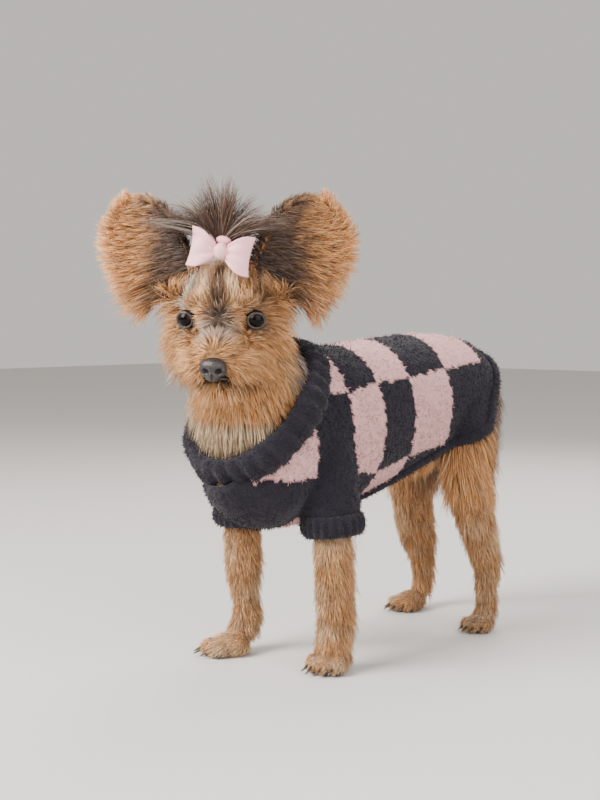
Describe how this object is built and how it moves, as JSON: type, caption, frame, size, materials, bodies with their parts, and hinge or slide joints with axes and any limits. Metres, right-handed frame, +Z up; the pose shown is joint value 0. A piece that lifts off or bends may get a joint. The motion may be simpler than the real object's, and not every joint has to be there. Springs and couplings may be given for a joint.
{
  "type": "life-size model of a yorkshire terrier in a knitted jumper",
  "caption": "Standing small terrier with a silky tan and dark coat, upright ears, a topknot with a ribbon bow and a chequered knitted jumper",
  "frame": {"origin": "on the floor under the middle of the model's bounding box", "axes": "+Z up, the dog's body faces -Y, its left side is +X"},
  "size_m": [0.1286, 0.3208, 0.2923],
  "materials": {
    "tan_coat": "silky golden-tan hair on skin",
    "dark_coat": "silky dark steel-grey hair on skin",
    "knit": "fuzzy knitted yarn, charcoal and pink checks",
    "ribbon": "pale pink satin",
    "eye": "wet, very dark brown",
    "nose_leather": "moist, finely pebbled black skin"
  },
  "bodies": {
    "root": {"bow_knot": "ribbon", "bow_loop_left": "ribbon", "bow_loop_right": "ribbon", "ear_left": "tan_coat", "ear_right": "tan_coat", "eye_left": "eye", "eye_right": "eye", "foreleg_left_lower": "tan_coat", "foreleg_left_paw": "tan_coat", "foreleg_left_upper": "tan_coat", "foreleg_right_lower": "tan_coat", "foreleg_right_paw": "tan_coat", "foreleg_right_upper": "tan_coat", "hair_tie": "ribbon", "head": "tan_coat", "hindleg_left_paw": "tan_coat", "hindleg_left_shank": "tan_coat", "hindleg_left_thigh": "dark_coat", "hindleg_right_paw": "tan_coat", "hindleg_right_shank": "tan_coat", "hindleg_right_thigh": "dark_coat", "jaw": "tan_coat", "jumper_body": "knit", "jumper_collar": "knit", "jumper_cuff_left": "knit", "jumper_cuff_right": "knit", "neck": "dark_coat", "nose": "nose_leather", "tail": "dark_coat", "topknot": "dark_coat", "torso": "dark_coat"}
  },
  "joints": []
}
